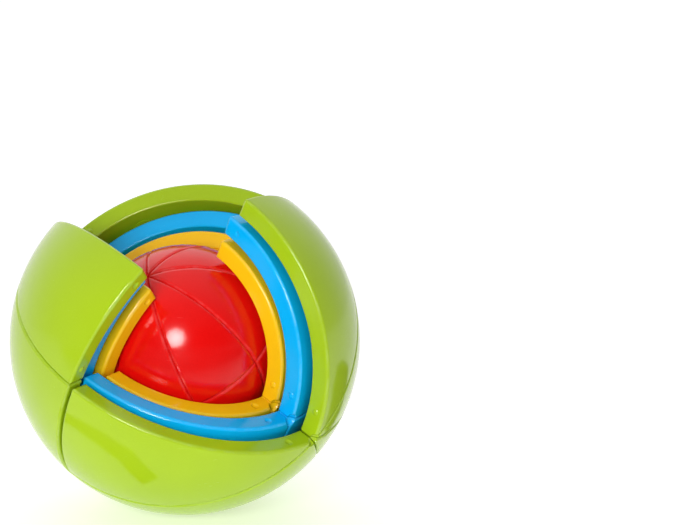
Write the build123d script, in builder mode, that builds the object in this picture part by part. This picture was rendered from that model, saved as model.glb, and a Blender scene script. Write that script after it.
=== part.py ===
from build123d import *

import os

# Layered snap-together puzzle ball, shown part-way through being taken apart.
# Three nested shells, green, blue and yellow, lie round a hollow red core with a running
# gap between them. Each shell is made of curved wedges: half of an orange segment, from
# the shell's equator to one of its poles. Wedges meet at flat faces that carry snap bumps
# and dimples. Two quarter-turns of wedges are missing from every shell, one in each half,
# so the opening steps sideways as it crosses the equator and the core shows through.
# Units are millimetres and degrees. +Z is up, the origin is the point the ball rests on.

# Sizes
BALL_RADIUS = 60.0
LAYER_PITCH = 9.0  # difference in outer radius from one layer to the next
WALL = 6.6  # thickness of every wedge, which leaves 2.4 between layers
SEAM = 0.3  # clearance between neighbouring wedges of one half
EQUATOR_GAP = 1.2  # clearance between the north and south half of a layer
TIP_CUT = 0.35  # radius cut off the wedges' tips round each pole
PIT_RADIUS = 2.4  # the pit that the tips leave in a layer's outer surface at each pole
PIT_DEPTH = 2.2
OUTER_ROUND = 1.1  # edge radius on a wedge's outer surface
INNER_ROUND = 0.6  # edge radius on its inner surface
CORNER_ROUND = 1.2  # radius of the upright edges at its two equator corners
ROLL_EASE = 0.02  # how far past the surface an edge's rounding ends, so that it crosses it
OVERSHOOT = 1.0  # how far a cutter reaches past the surface it opens

# Snap bumps and dimples on the flat faces
BUMP_RADIUS = 1.2
BUMP_HEIGHT = 0.45
DIMPLE_RADIUS = 1.4
DIMPLE_DEPTH = 0.5
SNAP_FROM_POLE = 9.5  # degrees of elevation
SNAP_FROM_EDGE = 5.5  # degrees of longitude
VENT_RADIUS = 0.9  # shallow mould vent on the starting face of a blue wedge
VENT_DEPTH = 0.3
VENT_FROM_EQUATOR = 7.5

# Round ejector mark on a wedge's inner surface
MARK_RADIUS = 4.2
MARK_WIDTH = 0.5
MARK_DEPTH = 0.3
MARK_ELEVATION = 60.0
MARK_LONGITUDE = 22.5  # past the wedge's first meridian

# Red core, two hollow halves glued at its equator
CORE_RADIUS = 33.0
CORE_WALL = 3.0
SPIGOT_REACH = 3.0  # how far the north half's locating ring reaches into the south half
SPIGOT_ROOT = 5.0  # how far up it is rooted in the north half's wall
SPIGOT_WALL = 1.4
SPIGOT_CLEARANCE = 0.2
GROOVES = 8  # meridians
GROOVE_LIP = 1.1  # half the groove's width at the surface
GROOVE_HALF = 0.4  # half its width where the lips turn down
GROOVE_LIP_DEPTH = 0.2
GROOVE_DEPTH = 0.85
GROOVE_EASE = 0.02  # how far below the surface a lip starts
GROOVE_START = 20.0  # elevation at which a meridian groove's cutter closes on itself

# How each layer lies in the ball: azimuth and elevation of its north pole, then the spin
# of its zero meridian about that pole. The shells float, so they don't quite line up.
GREEN_LIE = (144.7, 28.4, -6.9)
BLUE_LIE = (140.4, 25.4, -5.2)
YELLOW_LIE = (143.3, 26.0, -7.9)
CORE_LIE = (-127.2, 49.9, -8.7)

# How far the north half of a layer is turned past its south half
BLUE_TWIST = 0.5
YELLOW_TWIST = 1.0

NORTH = 1
SOUTH = -1

# Wedges: name, half, first meridian and span. The opening is 45 to 135 in the north and
# 0 to 90 in the south.
GREEN_WEDGES = [
    ("green_north_wedge_a", NORTH, 0, 45),
    ("green_north_wedge_b", NORTH, -90, 90),
    ("green_north_wedge_c", NORTH, -180, 90),
    ("green_north_wedge_d", NORTH, 135, 45),
    ("green_south_wedge_a", SOUTH, -45, 45),
    ("green_south_wedge_b", SOUTH, -135, 90),
    ("green_south_wedge_c", SOUTH, -180, 45),
    ("green_south_wedge_d", SOUTH, 135, 45),
    ("green_south_wedge_e", SOUTH, 90, 45),
]
INNER_WEDGES = [
    ("north_wedge_a", NORTH, -45, 90),
    ("north_wedge_b", NORTH, -135, 90),
    ("north_wedge_c", NORTH, 135, 90),
    ("south_wedge_a", SOUTH, -90, 90),
    ("south_wedge_b", SOUTH, -180, 90),
    ("south_wedge_c", SOUTH, 90, 90),
]

CENTRE = Vector(0, 0, BALL_RADIUS)


def layer_plane(azimuth, elevation, spin):
    """The equator plane of a layer: Z to the north pole, X to its zero meridian."""
    pole = Vector(1, 0, 0).rotate(Axis.Y, -elevation).rotate(Axis.Z, azimuth)
    level = Vector(0, 1, 0).rotate(Axis.Z, azimuth)
    zero = level.rotate(Axis((0, 0, 0), pole), spin)
    return Plane(origin=CENTRE, x_dir=zero, z_dir=pole)


def outward(layer, longitude, elevation):
    """Unit vector from the ball's centre, in a layer's own longitude and elevation."""
    tilted = layer.x_dir.rotate(Axis((0, 0, 0), layer.y_dir), -elevation)
    return tilted.rotate(Axis((0, 0, 0), layer.z_dir), longitude)


def meridian_plane(layer, longitude):
    """Plane of one meridian: X outwards, Y to the north pole, Z against the longitude."""
    equator_dir = outward(layer, longitude, 0)
    return Plane(origin=CENTRE, x_dir=equator_dir, z_dir=equator_dir.cross(layer.z_dir))


def cap_sphere_radius(base_radius, height):
    """Radius of the sphere whose cap has this base radius and height."""
    return (base_radius**2 + height**2) / (2 * height)


def add_bump(face_point, face_normal):
    """Low round bump that stands out of a flat face of the current part."""
    radius = cap_sphere_radius(BUMP_RADIUS, BUMP_HEIGHT)
    with Locations(Plane(face_point - face_normal * (radius - BUMP_HEIGHT), z_dir=face_normal)):
        Sphere(radius)


def cut_dimple(face_point, face_normal, base_radius=DIMPLE_RADIUS, depth=DIMPLE_DEPTH):
    """Shallow round dimple in a flat face of the current part."""
    radius = cap_sphere_radius(base_radius, depth)
    with Locations(Plane(face_point + face_normal * (radius - depth), z_dir=face_normal)):
        Sphere(radius, mode=Mode.SUBTRACT)


def snap_side_faces(layer, middle_radius, half, start, end):
    """A bump on the first meridian face near the pole, and its dimple on the last one."""
    elevation = half * (90 - SNAP_FROM_POLE)
    before = meridian_plane(layer, start).z_dir
    after = meridian_plane(layer, end).z_dir * -1
    first_face = CENTRE - before * (SEAM / 2)
    last_face = CENTRE - after * (SEAM / 2)
    add_bump(first_face + outward(layer, start, elevation) * middle_radius, before)
    cut_dimple(last_face + outward(layer, end, elevation) * middle_radius, after)


def snap_equator_face(layer, middle_radius, half, start, end):
    """A bump at one end of the equator face and a dimple at the other."""
    normal = layer.z_dir * -half
    face = CENTRE - normal * (EQUATOR_GAP / 2)
    low = face + outward(layer, start + SNAP_FROM_EDGE, 0) * middle_radius
    high = face + outward(layer, end - SNAP_FROM_EDGE, 0) * middle_radius
    bump, dimple = (low, high) if half == NORTH else (high, low)
    add_bump(bump, normal)
    cut_dimple(dimple, normal)


def vent_side_face(layer, middle_radius, half, start):
    """Small mould vent near the equator end of the first meridian face."""
    normal = meridian_plane(layer, start).z_dir
    direction = outward(layer, start, half * VENT_FROM_EQUATOR)
    point = CENTRE + direction * middle_radius - normal * (SEAM / 2)
    cut_dimple(point, normal, VENT_RADIUS, VENT_DEPTH)


def cut_ejector_mark(layer, inner_radius, longitude, elevation):
    """Shallow ring in the inner surface, left by the mould."""
    direction = outward(layer, longitude, elevation)
    start = inner_radius - OVERSHOOT
    below_surface = Plane(origin=CENTRE + direction * start, z_dir=direction)
    with BuildSketch(below_surface) as mark:
        Circle(MARK_RADIUS)
        Circle(MARK_RADIUS - MARK_WIDTH, mode=Mode.SUBTRACT)
    surface_drop = MARK_RADIUS**2 / (2 * inner_radius)
    extrude(mark.sketch, amount=OVERSHOOT + MARK_DEPTH - surface_drop, mode=Mode.SUBTRACT)


def roll_edge(surface_radius, side, rounding, outward_dir, face_normal, face_inset):
    """Roll over the edge between a flat face and a round surface of the current part.

    side is 1 for the outer surface and -1 for the inner one. The cutter closes on itself
    on the far side of the ball from the wedge, which lies along outward_dir."""
    away = outward_dir * -1
    section_plane = Plane(
        origin=CENTRE - face_normal * face_inset,
        x_dir=away,
        z_dir=away.cross(face_normal),
    )
    rim = surface_radius + side * ROLL_EASE
    within = rim - side * rounding
    beyond = rim + side * OVERSHOOT
    middle = rounding * (1 - 0.5**0.5)
    with BuildSketch(section_plane) as section:
        with BuildLine():
            ThreePointArc((within, 0), (rim - side * middle, -middle), (rim, -rounding))
            Polyline(
                (rim, -rounding),
                (beyond, -rounding),
                (beyond, OVERSHOOT),
                (within, OVERSHOOT),
                (within, 0),
            )
        make_face()
    turning_axis = Axis(section_plane.origin, face_normal)
    revolve(section.sketch, axis=turning_axis, mode=Mode.SUBTRACT)


def open_pole(layer, outer_radius, half):
    """Cut back the wedge's tip along the pole axis, and the pit round it."""
    with BuildSketch(layer) as tip:
        Circle(TIP_CUT)
    extrude(tip.sketch, amount=half * (outer_radius + OVERSHOOT), mode=Mode.SUBTRACT)
    up = layer.z_dir * half
    cut_dimple(CENTRE + up * outer_radius, up, PIT_RADIUS, PIT_DEPTH)


def make_wedge(label, layer, outer_radius, half, start, span, vented=False):
    """One curved wedge of a shell, written to its own file."""
    inner_radius = outer_radius - WALL
    middle_radius = outer_radius - WALL / 2
    end = start + span
    first = meridian_plane(layer, start)
    last = meridian_plane(layer, end)
    faces = [
        (first.x_dir, first.z_dir, SEAM / 2),
        (last.x_dir, last.z_dir * -1, SEAM / 2),
        (outward(layer, start + span / 2, 0), layer.z_dir * -half, EQUATOR_GAP / 2),
    ]
    with BuildPart() as wedge:
        with BuildSketch(first):
            Circle(outer_radius)
            Circle(inner_radius, mode=Mode.SUBTRACT)
            with Locations((outer_radius / 2, half * (outer_radius + EQUATOR_GAP) / 2)):
                Rectangle(outer_radius, outer_radius, mode=Mode.INTERSECT)
        revolve(axis=Axis(CENTRE, layer.z_dir), revolution_arc=span)
        split(bisect_by=first.offset(-SEAM / 2), keep=Keep.BOTTOM)
        split(bisect_by=last.offset(SEAM / 2), keep=Keep.TOP)
        upright = wedge.edges().filter_by(GeomType.LINE).sort_by(Axis(CENTRE, layer.z_dir * half))
        fillet(upright[:2], CORNER_ROUND)
        open_pole(layer, outer_radius, half)
        for outward_dir, face_normal, face_inset in faces:
            roll_edge(outer_radius, 1, OUTER_ROUND, outward_dir, face_normal, face_inset)
            roll_edge(inner_radius, -1, INNER_ROUND, outward_dir, face_normal, face_inset)
        snap_side_faces(layer, middle_radius, half, start, end)
        snap_equator_face(layer, middle_radius, half, start, end)
        if vented:
            vent_side_face(layer, middle_radius, half, start)
        cut_ejector_mark(layer, inner_radius, start + MARK_LONGITUDE, half * MARK_ELEVATION)
    wedge.part.label = label
    export_step(wedge.part, f"parts/{label}.step")


def cut_groove(section_plane, turning_dir):
    """Groove with rolled lips along a great circle of the core."""
    beyond = CORE_RADIUS + OVERSHOOT
    lip = CORE_RADIUS - GROOVE_EASE
    shoulder = CORE_RADIUS - GROOVE_LIP_DEPTH
    with BuildSketch(section_plane) as section:
        with BuildLine():
            Polyline(
                (beyond, GROOVE_LIP),
                (lip, GROOVE_LIP),
                (shoulder, GROOVE_HALF),
                (CORE_RADIUS - GROOVE_DEPTH, 0),
                (shoulder, -GROOVE_HALF),
                (lip, -GROOVE_LIP),
                (beyond, -GROOVE_LIP),
                close=True,
            )
        make_face()
    revolve(section.sketch, axis=Axis(CENTRE, turning_dir), mode=Mode.SUBTRACT)


def make_core_half(label, layer, half):
    """Half of the red core: a hollow half ball with eight grooves that meet at its pole."""
    pole_axis = Axis(CENTRE, layer.z_dir)
    bore = CORE_RADIUS - CORE_WALL
    with BuildPart() as core:
        with BuildSketch(meridian_plane(layer, 0)):
            Circle(CORE_RADIUS)
            Circle(bore, mode=Mode.SUBTRACT)
            with Locations((CORE_RADIUS / 2, half * CORE_RADIUS / 2)):
                Rectangle(CORE_RADIUS, CORE_RADIUS, mode=Mode.INTERSECT)
        revolve(axis=pole_axis)
        if half == NORTH:
            spigot_radius = bore - SPIGOT_CLEARANCE - SPIGOT_WALL / 2
            with BuildSketch(meridian_plane(layer, 0)):
                with Locations((spigot_radius, (SPIGOT_ROOT - SPIGOT_REACH) / 2)):
                    Rectangle(SPIGOT_WALL, SPIGOT_ROOT + SPIGOT_REACH)
            revolve(axis=pole_axis)
        cut_groove(meridian_plane(layer, 0), layer.z_dir)
        for count in range(GROOVES // 2):
            groove_plane = meridian_plane(layer, count * 360 / GROOVES)
            section_dir = outward(layer, count * 360 / GROOVES, GROOVE_START)
            side = Plane(origin=CENTRE, x_dir=section_dir, z_dir=groove_plane.z_dir.cross(section_dir))
            cut_groove(side, groove_plane.z_dir)
    core.part.label = label
    export_step(core.part, f"parts/{label}.step")


os.makedirs("parts", exist_ok=True)

green_layer = layer_plane(*GREEN_LIE)
blue_layer = layer_plane(*BLUE_LIE)
yellow_layer = layer_plane(*YELLOW_LIE)
core_layer = layer_plane(*CORE_LIE)

for label, half, start, span in GREEN_WEDGES:
    make_wedge(label, green_layer, BALL_RADIUS, half, start, span)

for label, half, start, span in INNER_WEDGES:
    turned = start + (BLUE_TWIST if half == NORTH else 0)
    make_wedge(
        f"blue_{label}", blue_layer, BALL_RADIUS - LAYER_PITCH, half, turned, span, vented=True
    )

for label, half, start, span in INNER_WEDGES:
    turned = start + (YELLOW_TWIST if half == NORTH else 0)
    make_wedge(
        f"yellow_{label}", yellow_layer, BALL_RADIUS - 2 * LAYER_PITCH, half, turned, span
    )

make_core_half("red_core_north_half", core_layer, NORTH)
make_core_half("red_core_south_half", core_layer, SOUTH)
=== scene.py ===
import math

import bpy
from mathutils import Euler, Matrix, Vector

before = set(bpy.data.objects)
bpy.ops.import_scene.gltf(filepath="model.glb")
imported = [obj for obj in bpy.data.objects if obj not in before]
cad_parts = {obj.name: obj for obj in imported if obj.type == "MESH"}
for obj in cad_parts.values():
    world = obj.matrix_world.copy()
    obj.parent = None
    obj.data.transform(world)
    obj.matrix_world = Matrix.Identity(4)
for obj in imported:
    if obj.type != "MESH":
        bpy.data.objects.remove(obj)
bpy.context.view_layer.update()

# A glossy layered puzzle ball on a white table, under one octagonal softbox.
# All lengths are metres in the CAD frame: the ball rests on z = 0 and the viewer is on the -Y side.

# The ball
BALL_RADIUS = 0.060
LAYER_PITCH = 0.009  # from the outer radius of one layer to the next
CORE_RADIUS = 0.033
CENTRE = Vector((0.0, 0.0, BALL_RADIUS))

# The camera: how far from the ball, how high it looks from, and where the ball sits in the picture.
VIEW_DISTANCE = 14.15 * BALL_RADIUS
VIEW_ELEVATION = math.radians(11.0)
LENS = 126.5
SENSOR = 36.0
BALL_RIGHT_OF_MIDDLE = -0.2350  # as a share of the picture's width
BALL_ABOVE_MIDDLE = -0.1107

# The plastics, linear colour
GREEN = (0.375, 0.55, 0.009)
BLUE = (0.0005, 0.46, 0.98)
YELLOW = (0.97, 0.57, 0.006)
RED = (0.80, 0.0025, 0.002)
PLASTIC_IOR = 1.43
ROUGH_CLEAN = 0.11
ROUGH_SMUDGED = 0.19
EDGE_BAND_TOP = (0.00003, 0.00025)  # depths below a layer's surface where the edge band, paler as a painted highlight, fades in
EDGE_BAND_FOOT = (0.0003, 0.0009)  # and fades out again
PEEL_HEIGHT = 0.00001
SCRATCH_TURNS = ((0.4, 0.9, 0.3), (1.7, 0.2, 1.1), (0.9, 2.2, 2.0))
SCRATCH_STRETCH = (40.0, 2600.0, 2600.0)
# paling of the edge band toward white: a painted highlight
EDGE_HIGHLIGHT_PALER = 0.45
EDGE_BAND_ROUGHER = 0.12
SCRATCH_ROUGHER = 0.16
SCRATCH_DEPTH = 0.6  # as a share of the orange peel's height
SPECKLE_SHARE = 0.35
BUMP_STRENGTH = 0.35

# Scales of the noises, per metre: the larger, the finer
DRIFT_SCALE = 22.0
SMUDGE_SCALE = 48.0
SCRATCH_PATCH_SCALE = 55.0
EDGE_BAND_SCALE = 160.0
PEEL_SCALE = 420.0
SPECKLE_SCALE = 1900.0
PAPER_SCALE = 30.0
FIBRE_SCALE = 900.0

# The table: white round the ball; toward the viewer painted shade, pale grey and glowing less, for the dim
# studio on the camera's side
FLOOR_RADIUS = 12.0
FLOOR_GLOW = 0.42
# the painted shade's grey, the share of the glow it keeps, and where it is full and where it ends
FLOOR_SHADE_GREY = 0.42
SHADE_GLOW_SHARE = 0.3
FLOOR_SHADE_AT = -0.30
FLOOR_WHITE_AT = -0.05
MATT = 0.8

# The softbox
SOFTBOX_RADIUS = 0.165
SOFTBOX_PLACE = Vector((-0.165, -0.80, 0.25))
SOFTBOX_STRENGTH = 22.0
SOFTBOX_MIDDLE = 1.35  # brightness at the middle and the rim, as shares of the strength
SOFTBOX_RIM = 0.65

# Dark cards on the table, seen only as reflections in the ball: outlines on the floor.
CARD_LIFT = 0.0005
RIGHT_CARD = (
    (0.090, 0.015), (0.160, 0.030), (0.260, 0.080), (0.270, 0.130),
    (0.200, 0.135), (0.100, 0.065), (0.075, 0.030),
)
FRONT_CARD = (
    (-0.112, -0.030), (-0.087, -0.051), (-0.062, -0.0605), (-0.034, -0.0605), (-0.013, -0.046),
    (-0.019, -0.037), (-0.038, -0.0465), (-0.058, -0.0455), (-0.080, -0.037), (-0.104, -0.018),
)
TABLE_CARD = ((-1.6, -0.06), (1.6, -0.06), (1.6, -2.4), (-1.6, -2.4))
SMALL_CARD_SHADE = 0.03
TABLE_CARD_SHADE = 0.05

# The studio's brightness by direction: axis, the dot products between which it changes, and its two levels.
AHEAD = ((0, 1, -0.1), -0.7, -0.1, 0.08, 0.6)
BEHIND = ((0, 1, 0), 0.1, 0.7, 0.0, 0.8)
ABOVE = ((0, 0, 1), 0.3, 0.9, 0.0, 0.45)
RIGHT = ((1, 0, 0), -0.1, 0.8, 1.0, 0.65)


def grey(level):
    return (level, level, level, 1.0)


class Nodes:
    """Adds and wires the nodes of one material or world."""

    def __init__(self, owner):
        owner.use_nodes = True
        self.tree = owner.node_tree
        self.tree.nodes.clear()

    def add(self, kind, **settings):
        node = self.tree.nodes.new(kind)
        for name, value in settings.items():
            setattr(node, name, value)
        return node

    def put(self, value, socket):
        if isinstance(value, bpy.types.NodeSocket):
            self.tree.links.new(value, socket)
        else:
            socket.default_value = value

    def place(self):
        return self.add("ShaderNodeTexCoord").outputs["Object"]

    def math(self, operation, first, second):
        node = self.add("ShaderNodeMath", operation=operation)
        self.put(first, node.inputs[0])
        self.put(second, node.inputs[1])
        return node.outputs[0]

    def noise(self, place, scale, detail=2.0, roughness=0.5):
        node = self.add("ShaderNodeTexNoise")
        self.put(place, node.inputs["Vector"])
        node.inputs["Scale"].default_value = scale
        node.inputs["Detail"].default_value = detail
        node.inputs["Roughness"].default_value = roughness
        return node.outputs["Fac"]

    def remap(self, value, from_low, from_high, to_low, to_high):
        node = self.add("ShaderNodeMapRange")
        for item, socket in zip((value, from_low, from_high, to_low, to_high), node.inputs):
            self.put(item, socket)
        return node.outputs["Result"]

    def mix(self, share, first, second):
        node = self.add("ShaderNodeMix", data_type="RGBA")
        self.put(share, node.inputs[0])
        self.put(first, node.inputs[6])
        self.put(second, node.inputs[7])
        return node.outputs[2]

    def length(self, vector):
        node = self.add("ShaderNodeVectorMath", operation="LENGTH")
        self.put(vector, node.inputs[0])
        return node.outputs["Value"]

    def along_y(self, place):
        node = self.add("ShaderNodeSeparateXYZ")
        self.put(place, node.inputs[0])
        return node.outputs["Y"]

    def finish(self, shader, kind="ShaderNodeOutputMaterial"):
        self.put(shader.outputs[0], self.add(kind).inputs["Surface"])


def make_camera():
    """The camera turns away from the ball, so that the ball stands low on the left of the picture."""
    data = bpy.data.cameras.new("camera")
    data.lens = LENS
    data.sensor_width = SENSOR
    camera = bpy.data.objects.new("camera", data)
    bpy.context.scene.collection.objects.link(camera)
    straight = Euler((math.pi / 2 - VIEW_ELEVATION, 0.0, 0.0)).to_matrix()
    ball_in_picture = Vector((BALL_RIGHT_OF_MIDDLE * SENSOR, BALL_ABOVE_MIDDLE * SENSOR, -LENS))
    turn = ball_in_picture.rotation_difference(Vector((0.0, 0.0, -1.0))).to_matrix()
    toward_ball = straight @ Vector((0.0, 0.0, -1.0))
    camera.location = CENTRE - toward_ball * VIEW_DISTANCE
    camera.rotation_euler = (straight @ turn).to_euler()
    bpy.context.scene.camera = camera


def edge_highlight_band(nodes, place, surface_radius):
    """A patchy band along the rolled edges, just below a layer's outer surface, where a highlight is
    painted as paler colour and the plastic is rougher.
    """
    from_centre = nodes.add("ShaderNodeVectorMath", operation="SUBTRACT")
    nodes.put(place, from_centre.inputs[0])
    from_centre.inputs[1].default_value = CENTRE
    depth = nodes.math("SUBTRACT", surface_radius, nodes.length(from_centre.outputs[0]))
    top = nodes.remap(depth, *EDGE_BAND_TOP, 0.0, 1.0)
    foot = nodes.remap(depth, *EDGE_BAND_FOOT, 1.0, 0.0)
    patchy = nodes.remap(nodes.noise(place, EDGE_BAND_SCALE, 4.0, 0.65), 0.42, 0.62, 0.15, 1.0)
    return nodes.math("MULTIPLY", nodes.math("MULTIPLY", top, foot), patchy)


def scratches(nodes, place):
    """Sparse hairlines in a few directions, each kept to its own patches."""
    marks = 0.0
    for turn in SCRATCH_TURNS:
        stretched = nodes.add("ShaderNodeMapping")
        nodes.put(place, stretched.inputs["Vector"])
        stretched.inputs["Rotation"].default_value = turn
        stretched.inputs["Scale"].default_value = SCRATCH_STRETCH
        line = nodes.remap(nodes.noise(stretched.outputs["Vector"], 1.0, 1.0), 0.68, 0.76, 0.0, 1.0)
        cloud = nodes.noise(place, SCRATCH_PATCH_SCALE + turn[0] * 9.0, 1.0)
        patch = nodes.remap(cloud, 0.5, 0.65, 0.0, 1.0)
        marks = nodes.math("MAXIMUM", marks, nodes.math("MULTIPLY", line, patch))
    return marks


def plastic_tone(nodes, place, colour, edge_band):
    """The pigment: a slow drift, a fine speckle, and a painted highlight: paler in the band along the
    rolled edges.
    """
    deep = (*(channel * 0.93 for channel in colour), 1.0)
    bright = (*(min(1.0, channel * 1.06 + 0.004) for channel in colour), 1.0)
    pale = (*(channel * 0.82 + 0.14 for channel in colour), 1.0)
    drift = nodes.remap(nodes.noise(place, DRIFT_SCALE, 3.0), 0.35, 0.65, 0.0, 1.0)
    speckle = nodes.remap(nodes.noise(place, SPECKLE_SCALE, 2.0), 0.3, 0.7, 0.0, 1.0)
    tone = nodes.mix(drift, deep, (*colour, 1.0))
    tone = nodes.mix(nodes.math("MULTIPLY", speckle, SPECKLE_SHARE), tone, bright)
    # painted highlight: paler along the rolled edges
    return nodes.mix(nodes.math("MULTIPLY", edge_band, EDGE_HIGHLIGHT_PALER), tone, pale)


def plastic(name, colour, surface_radius):
    """Glossy moulded plastic with a painted highlight along rougher rolled edges, smudges, fine scratches
    and orange peel.
    """
    material = bpy.data.materials.new(name)
    nodes = Nodes(material)
    place = nodes.place()
    edge_band = edge_highlight_band(nodes, place, surface_radius)
    scratched = scratches(nodes, place)

    smudge = nodes.noise(place, SMUDGE_SCALE, 5.0, 0.6)
    rough = nodes.remap(smudge, 0.35, 0.68, ROUGH_CLEAN, ROUGH_SMUDGED)
    rough = nodes.math("ADD", rough, nodes.math("MULTIPLY", edge_band, EDGE_BAND_ROUGHER))
    rough = nodes.math("ADD", rough, nodes.math("MULTIPLY", scratched, SCRATCH_ROUGHER))

    peel = nodes.noise(place, PEEL_SCALE, 3.0, 0.55)
    bump = nodes.add("ShaderNodeBump")
    bump.inputs["Strength"].default_value = BUMP_STRENGTH
    bump.inputs["Distance"].default_value = PEEL_HEIGHT
    height = nodes.math("SUBTRACT", peel, nodes.math("MULTIPLY", scratched, SCRATCH_DEPTH))
    nodes.put(height, bump.inputs["Height"])

    shader = nodes.add("ShaderNodeBsdfPrincipled")
    nodes.put(plastic_tone(nodes, place, colour, edge_band), shader.inputs["Base Color"])
    nodes.put(rough, shader.inputs["Roughness"])
    nodes.put(bump.outputs["Normal"], shader.inputs["Normal"])
    shader.inputs["IOR"].default_value = PLASTIC_IOR
    nodes.finish(shader)
    return material


def dress_ball():
    """Puts the plastics into the slots of the CAD nodes."""
    made = {
        "green_plastic": plastic("green_abs", GREEN, BALL_RADIUS),
        "blue_plastic": plastic("blue_abs", BLUE, BALL_RADIUS - LAYER_PITCH),
        "yellow_plastic": plastic("yellow_abs", YELLOW, BALL_RADIUS - 2 * LAYER_PITCH),
        "red_plastic": plastic("red_abs", RED, CORE_RADIUS),
    }
    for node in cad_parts.values():
        for slot in node.material_slots:
            slot.material = made[slot.material.name]


def make_floor():
    bpy.ops.mesh.primitive_circle_add(vertices=96, radius=FLOOR_RADIUS, fill_type="NGON")
    floor = bpy.context.object
    floor.name = "floor"
    material = bpy.data.materials.new("floor_white")
    nodes = Nodes(material)
    place = nodes.place()
    white = nodes.mix(nodes.noise(place, PAPER_SCALE, 3.0), grey(0.87), grey(0.9))
    # painted shade: the floor is pale grey and glows less toward the viewer
    out_of_shade = nodes.remap(nodes.along_y(place), FLOOR_SHADE_AT, FLOOR_WHITE_AT, 0.0, 1.0)
    glow = nodes.remap(out_of_shade, 0.0, 1.0, SHADE_GLOW_SHARE * FLOOR_GLOW, FLOOR_GLOW)
    shader = nodes.add("ShaderNodeBsdfPrincipled")
    nodes.put(nodes.mix(out_of_shade, grey(FLOOR_SHADE_GREY), white), shader.inputs["Base Color"])
    nodes.put(glow, shader.inputs["Emission Strength"])
    shader.inputs["Emission Color"].default_value = grey(1.0)
    shader.inputs["Roughness"].default_value = MATT
    nodes.finish(shader)
    floor.data.materials.append(material)


def make_softbox():
    """An octagonal softbox: brightest in the middle, seen in reflections and never by the camera."""
    bpy.ops.mesh.primitive_circle_add(vertices=8, radius=SOFTBOX_RADIUS, fill_type="NGON")
    box = bpy.context.object
    box.name = "softbox"
    box.location = SOFTBOX_PLACE
    box.rotation_euler = (SOFTBOX_PLACE - CENTRE).to_track_quat("-Z", "Y").to_euler()
    box.visible_camera = False
    material = bpy.data.materials.new("softbox")
    nodes = Nodes(material)
    from_middle = nodes.length(nodes.place())
    middle, rim = SOFTBOX_STRENGTH * SOFTBOX_MIDDLE, SOFTBOX_STRENGTH * SOFTBOX_RIM
    shader = nodes.add("ShaderNodeEmission")
    nodes.put(nodes.remap(from_middle, 0.0, SOFTBOX_RADIUS, middle, rim), shader.inputs["Strength"])
    nodes.finish(shader)
    box.data.materials.append(material)


def make_card(name, outline, shade, lift, full_at, clear_at):
    """A dark card seen in reflections alone. It fades out from y = full_at to y = clear_at."""
    mesh = bpy.data.meshes.new(name)
    mesh.from_pydata([(x, y, lift) for x, y in outline], [], [tuple(range(len(outline)))])
    card = bpy.data.objects.new(name, mesh)
    bpy.context.scene.collection.objects.link(card)
    card.visible_camera = False
    card.visible_diffuse = False
    card.visible_shadow = False
    material = bpy.data.materials.new(name)
    nodes = Nodes(material)
    place = nodes.place()
    fibre = nodes.noise(place, FIBRE_SCALE, 3.0)
    shader = nodes.add("ShaderNodeBsdfPrincipled")
    nodes.put(nodes.mix(fibre, grey(shade), grey(shade * 1.6)), shader.inputs["Base Color"])
    nodes.put(nodes.remap(nodes.along_y(place), full_at, clear_at, 1.0, 0.0), shader.inputs["Alpha"])
    shader.inputs["Roughness"].default_value = MATT
    nodes.finish(shader)
    mesh.materials.append(material)


def make_world():
    """A white studio: brightest behind the ball, dim to the right, dark behind the camera."""
    world = bpy.data.worlds.new("studio")
    bpy.context.scene.world = world
    nodes = Nodes(world)
    way = nodes.add("ShaderNodeTexCoord").outputs["Generated"]

    def facing(direction, low, high, at_low, at_high):
        dot = nodes.add("ShaderNodeVectorMath", operation="DOT_PRODUCT")
        nodes.put(way, dot.inputs[0])
        dot.inputs[1].default_value = Vector(direction).normalized()
        return nodes.remap(dot.outputs["Value"], low, high, at_low, at_high)

    glow = nodes.math("ADD", facing(*AHEAD), facing(*BEHIND))
    glow = nodes.math("ADD", glow, facing(*ABOVE))
    glow = nodes.math("MULTIPLY", glow, facing(*RIGHT))
    seen = nodes.add("ShaderNodeLightPath").outputs["Is Camera Ray"]
    shader = nodes.add("ShaderNodeBackground")
    nodes.put(nodes.remap(seen, 0.0, 1.0, glow, 1.0), shader.inputs["Strength"])
    nodes.finish(shader, "ShaderNodeOutputWorld")


dress_ball()
make_camera()
make_floor()
make_softbox()
make_card("card_right", RIGHT_CARD, SMALL_CARD_SHADE, CARD_LIFT, full_at=0.2, clear_at=0.3)
make_card("card_front", FRONT_CARD, SMALL_CARD_SHADE, CARD_LIFT, full_at=-0.001, clear_at=0.0)
make_card("card_table", TABLE_CARD, TABLE_CARD_SHADE, 2 * CARD_LIFT, full_at=-0.16, clear_at=-0.06)
make_world()
bpy.context.scene.view_settings.view_transform = "Standard"
